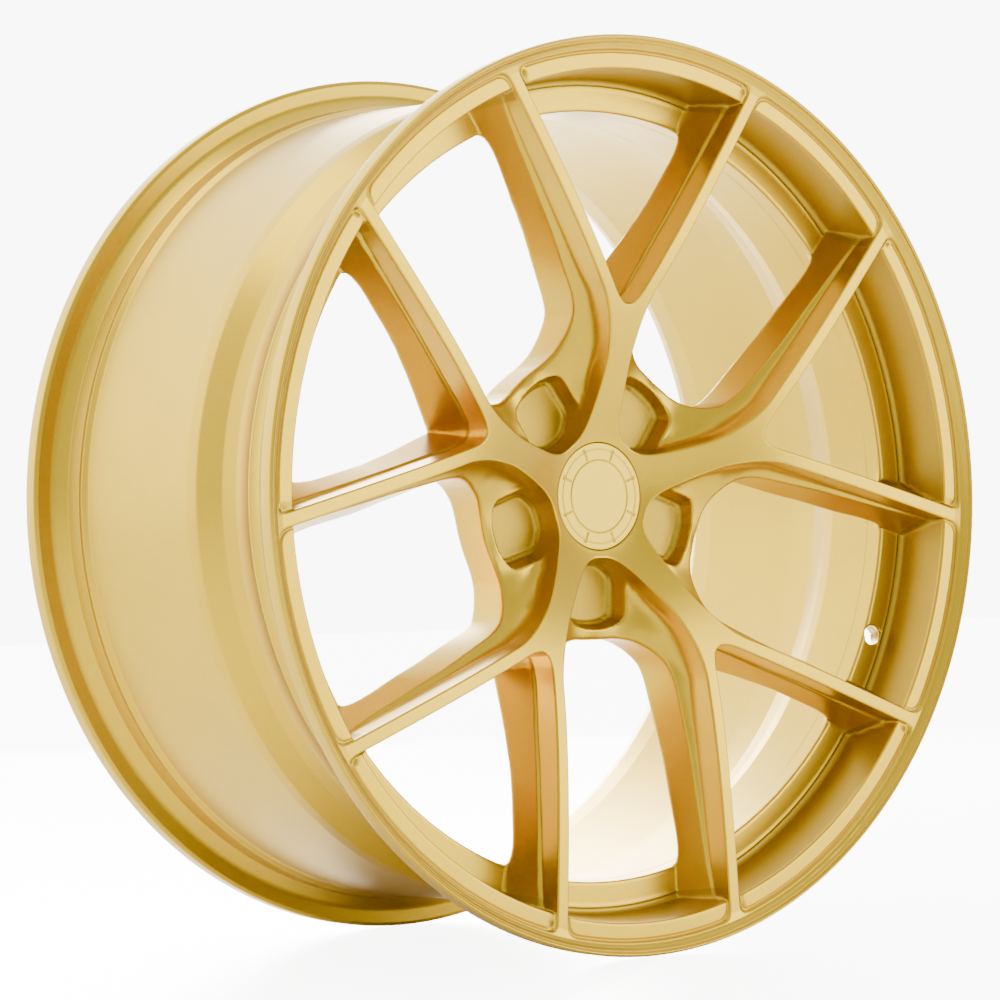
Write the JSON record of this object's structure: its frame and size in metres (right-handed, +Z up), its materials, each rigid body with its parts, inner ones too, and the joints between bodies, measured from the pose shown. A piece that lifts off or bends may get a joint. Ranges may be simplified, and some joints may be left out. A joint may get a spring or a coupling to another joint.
{
  "type": "car wheel rim",
  "caption": "Light-alloy car wheel rim with forked spokes, blank lug pads, a snap-in centre cap and a hub centring ring, painted satin gold.",
  "frame": {"origin": "on the wheel's axis, halfway between the outer faces of the two rim flanges", "axes": "+Y along the wheel's axis from the spoked face towards the car, +Z up through the first spoke"},
  "size_m": [0.497, 0.2372, 0.497],
  "materials": {
    "gold_paint": "satin metallic gold paint over cast and flow-formed aluminium",
    "cap_paint": "satin metallic gold paint over moulded plastic",
    "spring_steel": "bright drawn spring wire",
    "ring_nylon": "moulded black nylon"
  },
  "bodies": {
    "wheel": {"hub_plate": "gold_paint", "hub_web_1": "gold_paint", "hub_web_2": "gold_paint", "hub_web_3": "gold_paint", "hub_web_4": "gold_paint", "hub_web_5": "gold_paint", "spoke_1": "gold_paint", "spoke_2": "gold_paint", "spoke_3": "gold_paint", "spoke_4": "gold_paint", "spoke_5": "gold_paint", "outer_lip": "gold_paint", "front_bead_seat": "gold_paint", "window_ledge_1": "gold_paint", "window_ledge_2": "gold_paint", "window_ledge_3": "gold_paint", "window_ledge_4": "gold_paint", "window_ledge_5": "gold_paint", "drop_centre_1": "gold_paint", "drop_centre_2": "gold_paint", "drop_centre_3": "gold_paint", "drop_centre_4": "gold_paint", "drop_centre_5": "gold_paint", "barrel": "gold_paint", "rear_bead_seat": "gold_paint", "rear_lip": "gold_paint"},
    "cap": {"centre_cap": "cap_paint", "cap_spring_ring": "spring_steel"},
    "centring_ring": {"spigot_ring": "ring_nylon"}
  },
  "joints": [
    {"name": "cap_pull", "type": "slide", "parent": "wheel", "child": "cap", "axis": [0, -1, 0], "range_m": [0, 0.03]},
    {"name": "ring_pull", "type": "slide", "parent": "wheel", "child": "centring_ring", "axis": [0, 1, 0], "range_m": [0, 0.025]}
  ]
}
